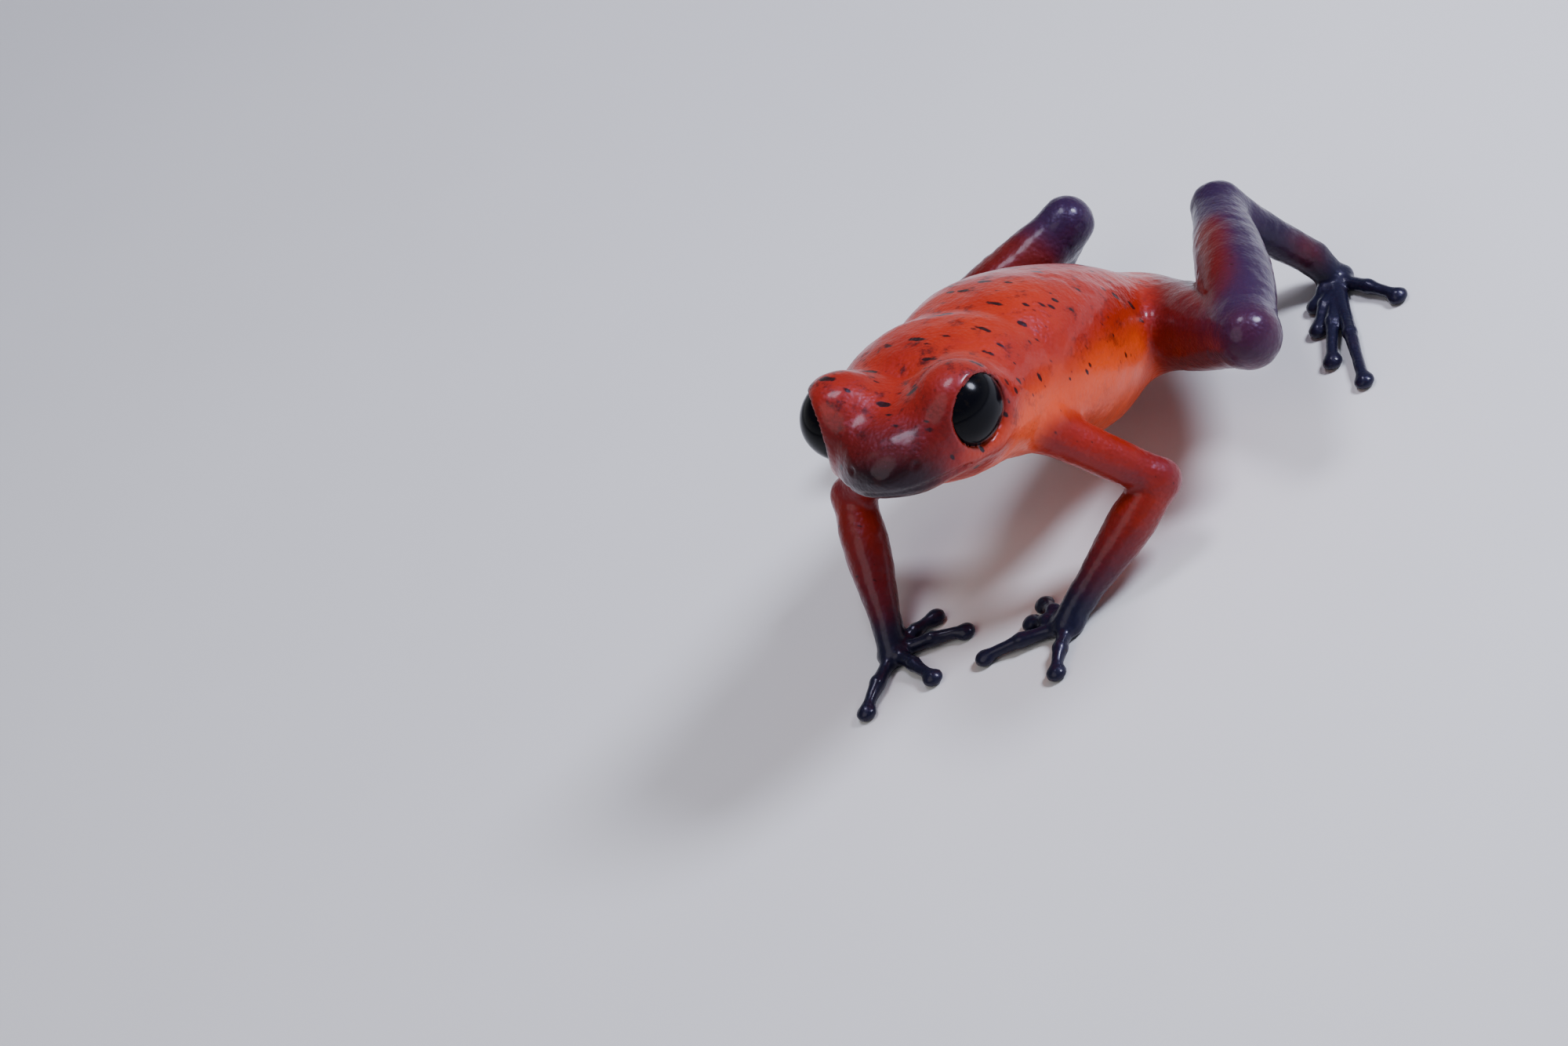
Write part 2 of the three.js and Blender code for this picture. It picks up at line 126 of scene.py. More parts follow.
# Eyes, and the openings that they look out of
EYE = np.array([2.1, -0.5, 0.42])
EYE_RADIUS = 1.5
EYE_RINGS = 48
EYE_SIDES = 72
CORNEA_RISE = 0.035
CORNEA_REACH = 0.75
PUPIL_WIDENING = 1.25
EYE_BACK = 1.6
GAZE = np.array([1.0, -0.4, -0.12])
LID_RADIUS = 1.64
LID_OPENING = [1.29, 1.27]
LID_RIM_SIZE = 1.28
LID_RIM_FLARE = 0.9
LID_RIM_CLEARANCE = 0.08
SOCKET_DEPTH = 0.06
LID_EDGE_BLEND = 0.2

# The mouth, nostrils and ears, in the head's own frame. Each swelling or groove is its height and width.
MOUTH_LEVEL = -1.38
MOUTH_START = -0.5
MOUTH_CORNER_RISE = 0.34
MOUTH_HALF_TURN = 112
MOUTH_GROOVE = (0.17, 0.1)
LIP_SWELLING = (0.07, 0.32)
NOSTRIL = (1.1, 3.05, -0.5)
NOSTRIL_HOLE = (0.24, 0.11)
NOSTRIL_RIM = (0.03, 0.12)
NOSTRIL_RIM_RADIUS = 0.22
EAR_BACK = 1.35
EAR_LEVEL = -0.45
EAR_RADIUS = 0.55
EAR_RING = (0.025, 0.1)
EAR_HOLLOW = (0.02, 0.4)
SNOUT_RIDGE = (0.1, 0.3)
SNOUT_RIDGE_START = EYE + [-0.55, -1.1, 0.35]
SNOUT_RIDGE_END = [-0.05, 0.2, 0.25]
CHEEK_HOLLOW = (0.06, 1.0)
CHEEK_PLACE = [2.0, -2.2, -0.35]
CHEEK_SIZE = [0.5, 0.9, 0.5]

# The skin's mesh: its grid, and how far from a form its distance is still worked out
SKIN_STEP = 0.11
GRID_LOW = np.array([-13.5, -19.5, -0.35])
GRID_HIGH = np.array([14.0, 8.0, 13.5])
BLOCK = 4
BLOCK_REACH = 1.6
BLOCK_MARGIN = 0.35
CELLS_AT_ONCE = 400000
FAR_AWAY = 9.0
FORM_MARGIN = 1.2
HEAD_DETAIL_REACH = 5.5
SMOOTHING_ROUNDS = 3
SMOOTHING_SHARE = 0.5
LONGEST_MOVE = 0.06
LEAST_SLOPE = 0.2

# Relief of the skin: grains are their height, size and seed, folds their depth and pitch
GRAINS = [(0.007, 0.42, 3), (0.007, 1.1, 4)]
FOLDED = {"shank": (0.022, 0.46), "tarsus": (0.012, 0.4), "forearm": (0.009, 0.42), "thigh": (0.009, 0.55)}
WAVES = 26

# How dark red, purple and navy each part is, at its near and far end
TINTS = {
    "torso": ((0.0, 0.0), (0, 0), (0, 0)), "head": ((0.25, 0.25), (0, 0), (0, 0)),
    # upper arms: their purple towards the elbow is a painted bluish sheen
    "upper_arm": ((0.3, 0.65), (0, 0.35), (0, 0)), "forearm": ((0.55, 0.85), (0.05, 0.2), (0, 0.62)),
    "hand": ((1, 1), (0.6, 0.4), (0.9, 1)), "thigh": ((0.7, 1), (0, 0.4), (0, 0.05)),
    "shank": ((0.8, 0.8), (1, 1), (0.25, 0.35)), "tarsus": ((0.9, 0.9), (0.9, 0.5), (0.45, 0.9)),
    "foot": ((1, 1), (0.4, 0.3), (0.9, 1)),
}
TINT_CURVE = 1.4
TINT_ROUNDS = 40
MASKS = ["dark_red", "purple", "navy", "snout_black", "flecked", "wrinkled", "bright"]
RED_REACH = {"left": 0.82, "right": 0.97}  # how far along each shank its red face goes
ANKLE_PATCH = np.array([0.25, -0.35, 0.65])  # from the ankle to the dull red patch above it
PATCH_REACH = 0.6
# KNEE_REACH: how far each knee's purple and navy spread, partly own colour and partly painted sheen
KNEE_REACH = 1.6
LID_TINT_REACH = 1.9

RED = (0.30, 0.012, 0.003, 1)
ORANGE = (0.40, 0.024, 0.004, 1)
FLECK = (0.020, 0.003, 0.002, 1)
TINT_COLOURS = {
    # bright: painted light on the lower flanks, and the upper lip's own lighter orange
    "bright": (0.76, 0.072, 0.008, 1),
    "dark_red": (0.095, 0.005, 0.003, 1),
    "purple": (0.032, 0.011, 0.042, 1),
    "navy": (0.007, 0.007, 0.020, 1),
    "snout_black": (0.012, 0.002, 0.002, 1),
}
EYE_BLACK = (0.0025, 0.0025, 0.004, 1)
EYE_BRONZE = (0.008, 0.006, 0.005, 1)
SKIN_FINISH = {
    "Specular IOR Level": 0.2, "Specular Tint": (0.7, 0.62, 1.0, 1), "Coat Weight": 0.55,
    "Coat Roughness": 0.17, "Coat IOR": 1.34, "Subsurface Weight": 0.1,
    "Subsurface Radius": (1.0, 0.25, 0.1), "Subsurface Scale": 0.0003,
}
EYE_FINISH = {"Specular IOR Level": 0.09, "Coat Weight": 0.06, "Coat Roughness": 0.09}

# Camera: how it looks at the pose, found by laying the pose over the photograph
VIEW_AZIMUTH = 45.2
VIEW_ELEVATION = 34.95
VIEW_ROLL = -31.3
VIEW_DISTANCE = 252.6
VIEW_ASIDE = 13.16
VIEW_BELOW = 5.24
LENS = 162.0
SENSOR = 36.0

# Each light's place toward the camera, up and right in millimetres, then its width, power and colour
LIGHTS = {
    "soft_key": ((85, 115, 52), 0.04, 0.30, (0.76, 0.80, 1.0)),
    "overhead": ((70, 110, -60), 0.05, 0.10, (0.80, 0.80, 1.0)),
    "fill": ((100, 10, -90), 0.1, 0.04, (1.0, 0.95, 0.9)),
}
LIGHT_AIM = Vector((0, 0, 0.005))
FLOOR_HALF = 2.0
FLOOR_COLOURS = [(0.74, 0.73, 0.70, 1), (0.8, 0.79, 0.76, 1)]
SKY_COLOURS = [(0.62, 0.64, 0.68, 1), (0.11, 0.12, 0.16, 1)]


# Directions and places
def turn_x(degrees):
    c, s = math.cos(math.radians(degrees)), math.sin(math.radians(degrees))
    return np.array([[1, 0, 0], [0, c, -s], [0, s, c]])


def turn_z(degrees):
    c, s = math.cos(math.radians(degrees)), math.sin(math.radians(degrees))
    return np.array([[c, -s, 0], [s, c, 0], [0, 0, 1]])


TRUNK_TURN = turn_x(-TRUNK_RISE)
HEAD_TURN = TRUNK_TURN @ turn_z(HEAD_YAW) @ turn_x(HEAD_PITCH)
NECK = HIPS + TRUNK_TURN @ np.array([0, -TRUNK_LENGTH, 0])
HEAD = NECK + HEAD_AHEAD


def on_trunk(place, side=1):
    return HIPS + TRUNK_TURN @ (np.array(place) * [side, 1, 1])


def on_head(place, side=1):
    return HEAD + HEAD_TURN @ (np.array(place) * [side, 1, 1])


def in_trunk(points):
    return (points - HIPS) @ TRUNK_TURN


def in_head(points):
    return (points - HEAD) @ HEAD_TURN


def heading(bearing, rise=0.0):
    b, r = math.radians(bearing), math.radians(rise)
    return np.array([math.cos(b) * math.cos(r), math.sin(b) * math.cos(r), math.sin(r)])


def reach(start, bone):
    return start + bone[0] * heading(*bone[1:])


def at_height(point, z):
    return np.array([point[0], point[1], z])


def joints(name):
    """Where the joints of one side's limbs lie."""
    side, pose = SIDES[name], POSE[name]
    place = {"shoulder": on_trunk(SHOULDER, side), "hip": on_trunk(HIP, side)}
    place["elbow"] = reach(place["shoulder"], pose["upper_arm"])
    place["wrist"] = reach(place["elbow"], pose["forearm"])
    place["palm"] = at_height(reach(place["wrist"], pose["palm"]), PALM_HEIGHT)
    place["knee"] = reach(place["hip"], pose["thigh"])
    place["heel"] = reach(place["knee"], pose["shank"])
    place["ball"] = reach(place["heel"], pose["tarsus"])
    length, bearing, rise = pose["tarsus"]
    place["ankle"] = reach(place["heel"], (length - BALL_LENGTH, bearing, rise))
    place["sole"] = at_height(reach(place["ball"], pose["sole"]), PALM_HEIGHT)
    return place


def eye_axes(side):
    """The way an eye looks, and the upright and level ways across it."""
    look = HEAD_TURN @ (GAZE * [side, 1, 1] / np.linalg.norm(GAZE))
    upward = HEAD_TURN @ np.array([0, 0, 1.0])
    upward -= look * (upward @ look)
    upward /= np.linalg.norm(upward)
    return look, upward, np.cross(upward, look)


def away_from(points, place):
    return np.linalg.norm(points - place, axis=1)


# Soft steps, hills and blends
def blend_step(value, low, high):
    t = np.clip((value - low) / (high - low), 0, 1)
    return t * t * (3 - 2 * t)


def hill(distance, width):
    return np.exp(-((distance / width) ** 2))


def swelling(distance, size):
    """A soft hill, given as its height and width."""
    height, width = size
    return height * hill(distance, width)


def soft_min(a, b, blend):
    """The lesser of two distances, rounded where they are within the blend of each other."""
    mix = np.maximum(blend - np.abs(a - b), 0) / blend
    return np.minimum(a, b) - mix * mix * blend / 4


def soft_max(a, b, blend):
    return -soft_min(-a, -b, blend)


# Distances from each form, in millimetres and below zero inside
def smooth_table(stations, column):
    """Dense samples of a smooth line through one column of a shape's stations."""
    at = np.array([s[0] for s in stations])
    value = np.array([s[column] for s in stations])
    slope = np.gradient(value, at)
    slope[1:-1] = (value[2:] - value[:-2]) / (at[2:] - at[:-2])
    slope[0] = (value[1] - value[0]) / (at[1] - at[0])
    slope[-1] = (value[-1] - value[-2]) / (at[-1] - at[-2])
    dense = np.linspace(at[0], at[-1], 400)
    i = np.clip(np.searchsorted(at, dense, side="right") - 1, 0, len(at) - 2)
    span = at[i + 1] - at[i]
    t = (dense - at[i]) / span
    return dense, (
        (2 * t**3 - 3 * t**2 + 1) * value[i] + (t**3 - 2 * t**2 + t) * slope[i] * span
        + (3 * t**2 - 2 * t**3) * value[i + 1] + (t**3 - t**2) * slope[i + 1] * span
    )


def round_end(distance, length):
    left = 1 - np.clip(distance / length, 0, 1)
    return np.sqrt(1 - left * left)


def tube_distance(x, z, side, top, bottom, square):
    """Distance from a rounded section, measured along the line from its middle."""
    out = np.hypot(x, z)
    height = np.where(z > 0, top, bottom)
    size = ((np.abs(x) / side) ** square + (np.abs(z) / height) ** square) ** (1 / square)
    return out * (1 - 1 / np.maximum(size, 1e-4))


class Body:
    """A trunk or head: rounded sections along a line, wide and deep as its stations say."""

    def __init__(self, stations, open_front, open_back, square):
        self.tables = [smooth_table(stations, column) for column in (1, 2, 3)]
        self.start, self.end = stations[0][0], stations[-1][0]
        self.open_front, self.open_back, self.square = open_front, open_back, square

    def sections(self, at):
        """Half width, height and depth at places along the line, and how far the ends close in."""
        at = np.clip(at, self.start + 1e-3, self.end - 1e-3)
        opening = round_end(at - self.start, self.open_back) * round_end(self.end - at, self.open_front)
        return [np.interp(at, *table) for table in self.tables], opening

    def with_ends(self, near, at):
        """Adds how far a place lies past either end."""
        past = np.maximum(np.maximum(self.start - at, at - self.end), 0)
        return np.hypot(np.maximum(near, 0), past) + np.minimum(near, 0)


TRUNK = Body(TRUNK_SHAPE, CUT_END_ROUNDING, RUMP_ROUNDING, TRUNK_SQUARENESS)
SKULL = Body(HEAD_SHAPE, SNOUT_ROUNDING, CUT_END_ROUNDING, HEAD_SQUARENESS)


def trunk_distance(points):
    local = in_trunk(points)
    at = -local[:, 1]
    (side, top, bottom), opening = TRUNK.sections(at)
    arch = BACK_ARCH * np.sin(math.pi * np.clip((at - BACK_ARCH_START) / BACK_ARCH_LENGTH, 0, 1))
    near = tube_distance(
        local[:, 0], local[:, 2] - arch, side * opening, top * opening, bottom * opening, TRUNK.square
    )
    return TRUNK.with_ends(near, at)


def skull_local_distance(local):
    at = -local[:, 1]
    (side, top, bottom), opening = SKULL.sections(at)
    half = (top + bottom) / 2 * opening
    middle = (top - bottom) / 2
    near = tube_distance(local[:, 0], local[:, 2] - middle, side * opening, half, half, SKULL.square)
    return SKULL.with_ends(near, at)


def skull_distance(points):
    return skull_local_distance(in_head(points))


def ball_distance(points, centre, radii):
    """Distance from an ellipsoid that lies square to the axes."""
    radii = np.array(radii)
    offset = points - centre
    size = np.linalg.norm(offset / radii, axis=1)
    slope = np.linalg.norm(offset / radii**2, axis=1)
    return size * (size - 1) / np.maximum(slope, 1e-6)


def along_bone(points, start, end):
    """Place along a bone from 0 to 1, and the distance from it."""
    bone = end - start
    length = np.linalg.norm(bone)
    place = np.clip((points - start) @ (bone / length), 0, length)
    nearest = start + place[:, None] * (bone / length)
    return place / length, away_from(points, nearest)


def limb_distance(points, start, end, shape):
    near, middle, far, full = shape
    share, away = along_bone(points, start, end)
    radius = np.interp(share, *smooth_table([(0, near), (full, middle), (1, far)], 1))
    return away - radius


# Forms of the body
class Piece:
    """One form of the body: its distance, how softly it joins the rest, and what it is part of."""

    def __init__(self, label, distance, centre, reach_out, blend, start=None, end=None):
        self.kind = label.replace("_left", "").replace("_right", "")
        self.side = label.split("_")[-1]
        self.distance, self.blend = distance, blend
        self.knee_blend = KNEE_BLEND if self.kind == "shank" else 0.0
        self.centre, self.reach_out = np.array(centre), reach_out
        self.start, self.end = start, end

    def near(self, points):
        """Which points are close enough for this form to change their distance."""
        margin = self.reach_out + self.blend + self.knee_blend + FORM_MARGIN
        return np.nonzero(within(points, self.centre, margin))[0]

    def blend_at(self, points):
        if self.start is None:
            return self.blend
        return self.blend + self.knee_blend * hill(away_from(points, self.start), KNEE_BLEND_REACH)


def within(points, centre, distance):
    return ((points - centre) ** 2).sum(1) < distance**2


def bone_piece(label, start, end, shape, blend):
    extent = np.linalg.norm(end - start) / 2 + max(shape[:3])
    return Piece(
        label, lambda p: limb_distance(p, start, end, shape), (start + end) / 2, extent, blend, start, end
    )


def ball_piece(label, centre, radii, reach_out, blend):
    return Piece(label, lambda p: ball_distance(p, centre, radii), centre, reach_out, blend)


def digit_shape(shares, full):
    return tuple(DIGIT_RADIUS * share for share in shares) + (full,)


def digit_pieces(label, root, bone):
    """A slim digit with a raised knuckle and a round pad at its tip."""
    rest = at_height(root, DIGIT_HEIGHT)
    tip = reach(rest, (bone[0] - PAD_RADIUS * 0.8, bone[1]))
    knuckle = at_height(rest + KNUCKLE_PLACE * (tip - rest), DIGIT_HEIGHT + KNUCKLE_RISE)
    end = at_height(tip, DIGIT_HEIGHT)
    pad_radii = (PAD_RADIUS * 0.95, PAD_RADIUS * 0.95, PAD_DEPTH)
    return [
        bone_piece(label, rest, knuckle, digit_shape(DIGIT_BASE, 0.6), BLEND["digit"]),
        bone_piece(label, knuckle, end, digit_shape(DIGIT_END, 0.5), BLEND["digit_end"]),
        ball_piece(label, at_height(tip, PAD_HEIGHT), pad_radii, PAD_RADIUS, BLEND["pad"]),
    ]


def spread_pieces(label, limb_end, middle, digits, width):
    """A hand or foot: a low pad with its digits spread on the floor."""
    stem = (width * 0.85, width * 0.95, width * 0.85, 0.5)
    low = at_height(middle, PALM_PAD_HEIGHT)
    pad_radii = (width * 1.15, width * 1.15, PALM_PAD_DEPTH)
    found = [
        bone_piece(label, limb_end, middle, stem, BLEND["wrist"]),
        ball_piece(label, low, pad_radii, width * 1.2, BLEND["palm"]),
    ]
    for bone in digits:
        found += digit_pieces(label, middle, bone)
    return found


def limb_pieces(name):
    """The hind leg and then the arm of one side, each from the body outward."""
    place, pose = joints(name), POSE[name]

    def bone(kind, start, end):
        return bone_piece(f"{kind}_{name}", place[start], place[end], LIMB[kind], BLEND[kind])

    leg = [bone("thigh", "hip", "knee"), bone("shank", "knee", "heel"), bone("tarsus", "heel", "ankle")]
    foot = spread_pieces(f"foot_{name}", place["ankle"], place["sole"], pose["toes"], SOLE_WIDTH)
    arm = [bone("upper_arm", "shoulder", "elbow"), bone("forearm", "elbow", "wrist")]
    hand = spread_pieces(f"hand_{name}", place["wrist"], place["palm"], pose["fingers"], PALM_WIDTH)
    return leg + foot + arm + hand


def lid_piece(side):
    """The ball of skin over an eye."""
    centre = on_head(EYE, side)
    return Piece("head", lambda p: away_from(p, centre) - LID_RADIUS, centre, LID_RADIUS, BLEND["lid"])


def body_pieces():
    middle = on_trunk((0, -6, 0))
    found = [
        Piece("torso", trunk_distance, middle, TRUNK_REACH, BLEND["torso"]),
        Piece("head", skull_distance, HEAD, HEAD_REACH, BLEND["head"]),
    ]
    return found + [lid_piece(side) for side in SIDES.values()]


PIECES = body_pieces() + limb_pieces("left") + limb_pieces("right")
HEAD_PIECES = [index for index, piece in enumerate(PIECES) if piece.kind == "head"]


# Details of the head
def path_distance(points, path):
    """Distance from a bent line."""
    best = np.full(len(points), 1e3)
    for start, end in zip(path[:-1], path[1:]):
        best = np.minimum(best, along_bone(points, start, end)[1])
    return best


def head_surface(y0, level, angle):
    """Where a level line from inside the head leaves it, in the head's own frame."""
    inside, outside = 0.0, 8.0
    start = np.array([0, y0, level])
    way = np.array([math.sin(angle), -math.cos(angle), 0.0])
    for _ in range(24):
        middle = (inside + outside) / 2
        if skull_local_distance((start + way * middle)[None])[0] < 0:
            inside = middle
        else:
            outside = middle
    return start + way * inside


def mouth_path():
    """The line of the mouth, from one corner round the snout to the other."""
    points = []
    for turn in np.linspace(-1, 1, 41):
        level = MOUTH_LEVEL + MOUTH_CORNER_RISE * turn * turn
        points.append(head_surface(MOUTH_START, level, turn * math.radians(MOUTH_HALF_TURN)))
    return points


MOUTH_PATH = mouth_path()
NOSTRIL_PLACE = head_surface(0, NOSTRIL[2], math.atan2(NOSTRIL[0], NOSTRIL[1]))
EAR_PLACE = head_surface(EAR_BACK, EAR_LEVEL, math.pi / 2)


def mirrored_head(local):
    """Places on the head, all brought to its left side."""
    return np.stack([np.abs(local[:, 0]), local[:, 1], local[:, 2]], 1)


def head_relief(local):
    """What is raised on the head or pressed into it, as a change of distance."""
    mirrored = mirrored_head(local)
    line = path_distance(local, MOUTH_PATH)
    change = swelling(line, MOUTH_GROOVE) - swelling(line, LIP_SWELLING)
    hole = away_from(mirrored, NOSTRIL_PLACE)
    change += swelling(hole, NOSTRIL_HOLE) - swelling(hole - NOSTRIL_RIM_RADIUS, NOSTRIL_RIM)
    ear = away_from(mirrored, EAR_PLACE)
    change += swelling(ear - EAR_RADIUS, EAR_RING) + swelling(ear, EAR_HOLLOW)
    ridge = path_distance(mirrored, [SNOUT_RIDGE_START, NOSTRIL_PLACE + SNOUT_RIDGE_END])
    change -= swelling(ridge, SNOUT_RIDGE)
    cheek = np.linalg.norm((mirrored - CHEEK_PLACE) / CHEEK_SIZE, axis=1)
    return change + swelling(cheek, CHEEK_HOLLOW)


def open_lids(points, distance):
    """Cuts the opening that each eye looks out of, with a rim that flares outward."""
    for side in SIDES.values():
        look, upward, onward = eye_axes(side)
        offset = points - on_head(EYE, side)
        away = np.linalg.norm(offset, axis=1)
        across = np.stack([offset @ onward, offset @ upward], 1) / LID_OPENING
        flare = LID_RIM_FLARE * np.maximum(away - EYE_RADIUS - LID_RIM_CLEARANCE, 0)
        rim = (np.linalg.norm(across, axis=1) - 1) * LID_RIM_SIZE - flare
        opening = np.maximum(np.maximum(rim, -(offset @ look)), EYE_RADIUS - SOCKET_DEPTH - away)
        distance = soft_max(distance, -opening, LID_EDGE_BLEND)
    return distance


def skin_distance(points):
    """Distance from the whole skin, in millimetres, in the pose's own frame."""
    distance = np.full(len(points), FAR_AWAY)
    for piece in PIECES:
        near = piece.near(points)
        if len(near):
            mine = points[near]
            distance[near] = soft_min(distance[near], piece.distance(mine), piece.blend_at(mine))
    near = np.nonzero(within(points, HEAD, HEAD_DETAIL_REACH))[0]
    if len(near):
        distance[near] += head_relief(in_head(points[near]))
        distance[near] = open_lids(points[near], distance[near])
    return np.maximum(distance, -points[:, 2])


# Mesh of the skin
def sample_block(low, shape, step):
    """Distances on a grid, worked out in full only close to the skin."""
    blocks = [-(-n // BLOCK) for n in shape]
    grid = np.stack(np.meshgrid(*[np.arange(n) for n in blocks], indexing="ij"), -1).reshape(-1, 3)
    centres = low + step * (grid * BLOCK + (BLOCK - 1) / 2)
    rough = skin_distance(centres)
    close = np.abs(rough) < step * BLOCK * BLOCK_REACH + BLOCK_MARGIN
    field = rough.reshape(blocks)
    for axis in range(3):
        field = np.repeat(field, BLOCK, axis)
    offsets = np.stack(np.meshgrid(*[np.arange(BLOCK)] * 3, indexing="ij"), -1).reshape(-1, 3)
    cells = (grid[close][:, None] * BLOCK + offsets[None]).reshape(-1, 3)
    for part in np.array_split(cells, max(1, len(cells) // CELLS_AT_ONCE)):
        field[tuple(part.T)] = skin_distance(low + step * part)
    return field


def net_vertices(field, inside, low, step):
    """One vertex in each cell that the skin crosses, at the middle of its crossings."""
    size = np.array(field.shape) - 1
    count = np.zeros(size, np.int8)
    corners = [(i, j, k) for i in (0, 1) for j in (0, 1) for k in (0, 1)]
    for i, j, k in corners:
        count += inside[i:size[0] + i, j:size[1] + j, k:size[2] + k]
    active = (count > 0) & (count < len(corners))
    cells = np.argwhere(active)
    number = np.full(size, -1)
    number[active] = np.arange(len(cells))
    total, hits = np.zeros((len(cells), 3)), np.zeros(len(cells))
    for corner in corners:
        for axis in range(3):
            if corner[axis]:
                continue
            step_on = np.eye(3, dtype=int)[axis]
            a = field[tuple((cells + corner).T)]
            b = field[tuple((cells + corner + step_on).T)]
            crossed = (a < 0) != (b < 0)
            share = np.where(crossed, a / np.where(crossed, a - b, 1), 0)
            total += crossed[:, None] * (np.array(corner) + share[:, None] * step_on)
            hits += crossed
    return low + step * (cells + total / hits[:, None]), number


def net_faces(inside, number):
    """A quad across every grid line that the skin crosses, facing outward."""
    faces = []
    for axis in range(3):
        u, v = (axis + 1) % 3, (axis + 2) % 3
        here = np.moveaxis(inside, axis, 0)
        changed = np.moveaxis(here[:-1] != here[1:], 0, axis)
        edges = np.argwhere(changed)
        edges = edges[(edges[:, u] > 0) & (edges[:, v] > 0)]
        ring = []
        for du, dv in ((0, 0), (-1, 0), (-1, -1), (0, -1)):
            cell = edges.copy()
            cell[:, u] += du
            cell[:, v] += dv
            ring.append(number[tuple(cell.T)])
        quad = np.stack(ring, 1)
        outward = inside[tuple(edges.T)]
        faces.append(np.where(outward[:, None], quad, quad[:, ::-1]))
    return np.concatenate(faces)


def vertex_links(faces, count):
    """For averaging over neighbours: the two ends of each edge, and how many each vertex has."""
    pairs = np.concatenate([faces[:, [i, (i + 1) % 4]] for i in range(4)])
    ends = np.concatenate([pairs, pairs[:, ::-1]])
    return ends, np.bincount(ends[:, 0], minlength=count)


def neighbour_mean(values, links):
    ends, degree = links
    if values.ndim == 1:
        return np.bincount(ends[:, 0], values[ends[:, 1]], len(degree)) / degree
    return np.stack([neighbour_mean(values[:, i], links) for i in range(values.shape[1])], 1)


def skin_slope(points, here):
    """Which way the distance grows, at each point."""
    nudge = 0.02
    return np.stack([(skin_distance(points + nudge * axis) - here) / nudge for axis in np.eye(3)], 1)


def drawn_to_skin(points):
    """Moves points on to the skin, down the slope of its distance."""
    here = skin_distance(points)
    slope = skin_slope(points, here)
    strength = np.maximum((slope**2).sum(1), LEAST_SLOPE)
    move = slope * (here / strength)[:, None]
    length = np.linalg.norm(move, axis=1, keepdims=True)
    return points - move * np.minimum(1, LONGEST_MOVE / np.maximum(length, 1e-6))


def nearest_piece(points):
    """For each point the number of its nearest form, and its place along it from 0 to 1."""
    best = np.full(len(points), 1e3)
    which, share = np.zeros(len(points), int), np.zeros(len(points))
    for index, piece in enumerate(PIECES):
        distance = piece.distance(points)
        closer = distance < best
        best[closer], which[closer] = distance[closer], index
        if piece.start is not None:
            share[closer] = along_bone(points, piece.start, piece.end)[0][closer]
    return which, share


def ripples(points, size, seed):
    """An even, random swell and dip all over, with waves of about the given size."""
    chance = np.random.default_rng(seed)
    way = chance.normal(size=(WAVES, 3))
    count = 2 * math.pi / size * chance.uniform(0.8, 1.25, (WAVES, 1))
    way *= count / np.linalg.norm(way, axis=1, keepdims=True)
    return np.sin(points @ way.T + chance.uniform(0, 2 * math.pi, WAVES)).sum(1) * math.sqrt(2 / WAVES)


def cross_fold_height(points, share, piece):
    """Folds across a limb that wander and fade, in millimetres."""
    depth, pitch = FOLDED[piece.kind]
    along = share * np.linalg.norm(piece.end - piece.start)
    wander = 0.16 * ripples(points, 1.3, 5)
    strength = np.clip(0.55 + 0.5 * ripples(points, 1.8, 6), 0, 1)
    return depth * strength * np.sin(2 * math.pi * (along + wander) / pitch)


def relief_height(points, which, share):
    """How far the skin stands up in grains and folds, in millimetres."""
    height = sum(tall * ripples(points, size, seed) for tall, size, seed in GRAINS)
    for index, piece in enumerate(PIECES):
        if piece.kind in FOLDED:
            mine = which == index
            height[mine] += cross_fold_height(points[mine], share[mine], piece)
    return height * blend_step(points[:, 2], 0.1, 0.45)


def raised_relief(points, links):
    """Stands the grains and folds up from the smooth skin, and leaves the lids' edges smooth."""
    height = relief_height(points, *nearest_piece(points))
    for _ in range(2):
        height = neighbour_mean(height, links)
    from_eye = np.minimum(*[away_from(points, on_head(EYE, side)) for side in SIDES.values()])
    height *= blend_step(from_eye, EYE_RADIUS + 0.02, EYE_RADIUS + 0.15)
    slope = skin_slope(points, skin_distance(points))
    slope /= np.maximum(np.linalg.norm(slope, axis=1, keepdims=True), 1e-6)
    return points + slope * height[:, None]


def skin_mesh():
    """Points, quads and links of the whole skin."""
    shape = [int(n) for n in np.ceil((GRID_HIGH - GRID_LOW) / SKIN_STEP / BLOCK) * BLOCK]
    field = sample_block(GRID_LOW, shape, SKIN_STEP)
    inside = field < 0
    points, number = net_vertices(field, inside, GRID_LOW, SKIN_STEP)
    faces = net_faces(inside, number)
    links = vertex_links(faces, len(points))
    for _ in range(SMOOTHING_ROUNDS):
        points = points + SMOOTHING_SHARE * (neighbour_mean(points, links) - points)
        points = drawn_to_skin(points)
    points = raised_relief(points, links)
    points[:, 2] = np.maximum(points[:, 2], 0)
    return points, faces, links


# Masks that follow the body
def tint_parts(which, share, masks):
    """Dark red, purple and navy along each part."""
    for index, piece in enumerate(PIECES):
        mine = which == index
        for name, (near, far) in zip(("dark_red", "purple", "navy"), TINTS[piece.kind]):
            masks[name][mine] = near + (far - near) * share[mine] ** TINT_CURVE


def redden_inner_shanks(points, which, masks):
    """The face that each shank turns to its thigh is red, not purple."""
    for index, piece in enumerate(PIECES):
        if piece.kind != "shank":
            continue
        mine = which == index
        bone = (piece.end - piece.start) / np.linalg.norm(piece.end - piece.start)
        inward = joints(piece.side)["hip"] - (piece.start + piece.end) / 2
        inward -= bone * (inward @ bone)
        inward /= np.linalg.norm(inward)
        share, away = along_bone(points[mine], piece.start, piece.end)
        offset = points[mine] - (piece.start + share[:, None] * (piece.end - piece.start))
        facing = (offset @ inward) / np.maximum(away, 1e-6)
        far = RED_REACH[piece.side]
        red = blend_step(facing, -0.92, -0.5) * blend_step(share, 0.08, 0.3)
        red *= 1 - blend_step(share, far - 0.16, far)
        masks["purple"][mine] *= 1 - red
        masks["navy"][mine] *= 1 - red


